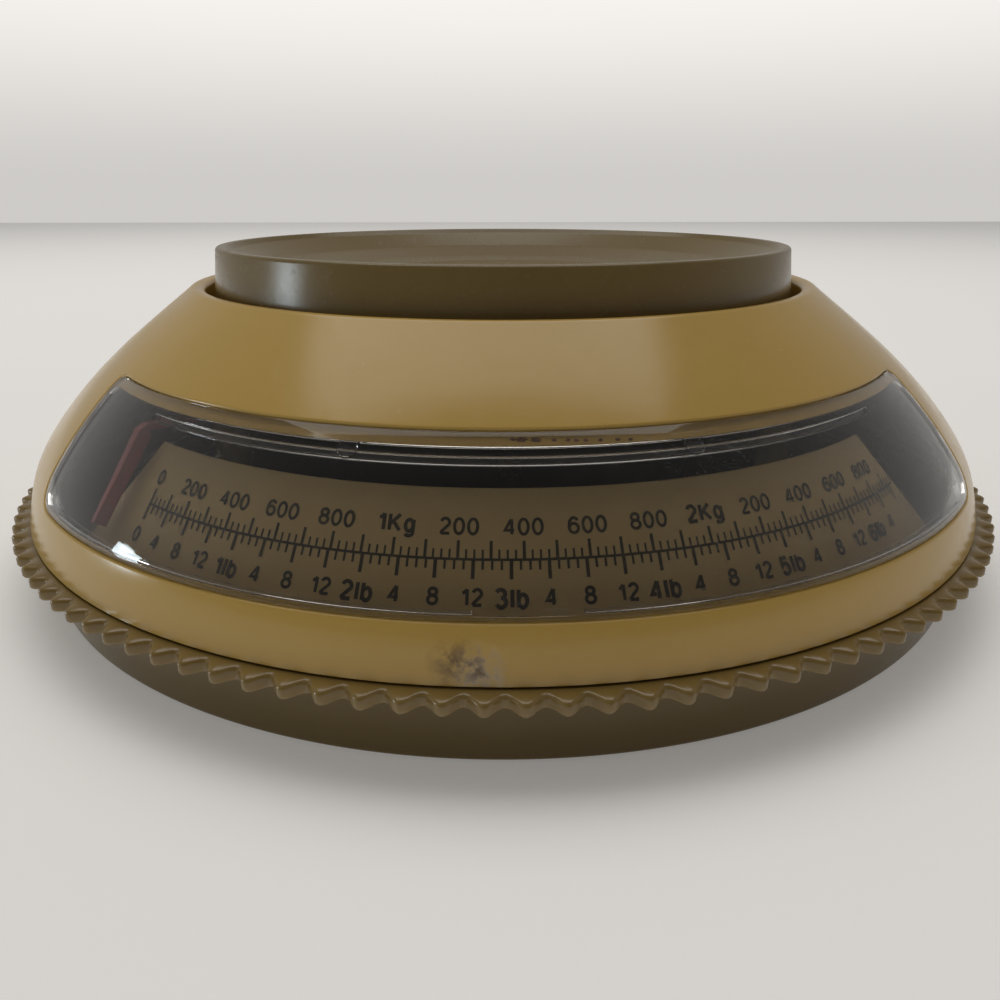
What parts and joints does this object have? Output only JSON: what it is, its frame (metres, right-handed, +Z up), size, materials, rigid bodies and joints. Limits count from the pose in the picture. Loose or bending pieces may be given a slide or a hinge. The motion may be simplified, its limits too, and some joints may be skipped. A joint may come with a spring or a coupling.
{
  "type": "kitchen scale",
  "caption": "Round mechanical kitchen scale: dished pan on a domed cover, wrap-round window over a conical dial, red pointer and a toothed zero ring above the base.",
  "frame": {"origin": "centre of the plane that the feet stand on, on the axis of the pan and pointer", "axes": "+Z up along the common axis of pan, pointer and zero ring; the window faces -Y; +X is to the right seen from the front"},
  "size_m": [0.22, 0.22, 0.0655],
  "materials": {
    "cream_plastic": "glossy, aged",
    "olive_plastic": "satin gloss",
    "dial_cream": "printed",
    "clear_plastic": "clear moulded",
    "red_paint": "enamel",
    "grey_plastic": "moulded",
    "white_plastic": "moulded",
    "rubber": "matte",
    "zinc_steel": "zinc plated",
    "bright_steel": "turned",
    "spring_steel": "oiled",
    "brass": "turned"
  },
  "bodies": {
    "base": {"base_tray": "olive_plastic", "rubber_feet": "rubber", "chassis_plate": "zinc_steel", "chassis_screws": "bright_steel", "mechanism_housing": "grey_plastic", "calibration_screw": "brass", "guide_tower": "bright_steel", "bridge_posts": "zinc_steel", "bridge_plate": "zinc_steel", "bridge_screws": "bright_steel", "rack_guides": "white_plastic", "crank_bracket": "zinc_steel", "crank_pivot_pin": "bright_steel", "retaining_clip": "spring_steel", "main_spring": "spring_steel", "cover_shell": "cream_plastic", "window_lens": "clear_plastic", "cover_screws": "bright_steel", "ring_spring": "spring_steel"},
    "zero_dial": {"zero_ring": "olive_plastic", "dial_plate": "dial_cream", "dial_screws": "bright_steel"},
    "platform": {"load_platform": "white_plastic", "plunger": "bright_steel", "cross_pin": "bright_steel", "spring_collar": "brass", "platform_screw": "bright_steel"},
    "pan": {"weighing_pan": "olive_plastic"},
    "crank": {"bell_crank": "zinc_steel"},
    "rack": {"rack_bar": "white_plastic", "rack_pin": "bright_steel"},
    "indicator": {"pointer_gear": "white_plastic", "pointer": "red_paint"}
  },
  "joints": [
    {"name": "zero_adjust", "type": "hinge", "parent": "base", "child": "zero_dial", "pos_m": [0, 0, 0.013], "axis": [0, 0, 1], "range_deg": [-15, 15]},
    {"name": "platform_press", "type": "slide", "parent": "base", "child": "platform", "axis": [0, 0, -1], "range_m": [0, 0.005], "stiffness_N_per_m": 6000, "springref_m": -0.0004, "deforming": ["main_spring"]},
    {"name": "pan_lift", "type": "slide", "parent": "platform", "child": "pan", "axis": [0, 0, 1], "range_m": [0, 0.03]},
    {"name": "crank_pivot", "type": "hinge", "parent": "base", "child": "crank", "pos_m": [0.00837, 0.01275, 0.013], "axis": [0, -1, 0], "range_deg": [0, 33.4]},
    {"name": "rack_slide", "type": "slide", "parent": "base", "child": "rack", "axis": [-1, 0, 0], "range_m": [0, 0.0112]},
    {"name": "pointer_turn", "type": "hinge", "parent": "base", "child": "indicator", "pos_m": [0, 0, 0.033], "axis": [0, 0, 1], "range_deg": [0, 91.6]}
  ],
  "couplings": [
    {"joint": "crank_pivot", "follows": "platform_press", "rad_per_m": 116.1},
    {"joint": "rack_slide", "follows": "platform_press", "ratio": 2.2342},
    {"joint": "pointer_turn", "follows": "platform_press", "rad_per_m": 319.17}
  ]
}
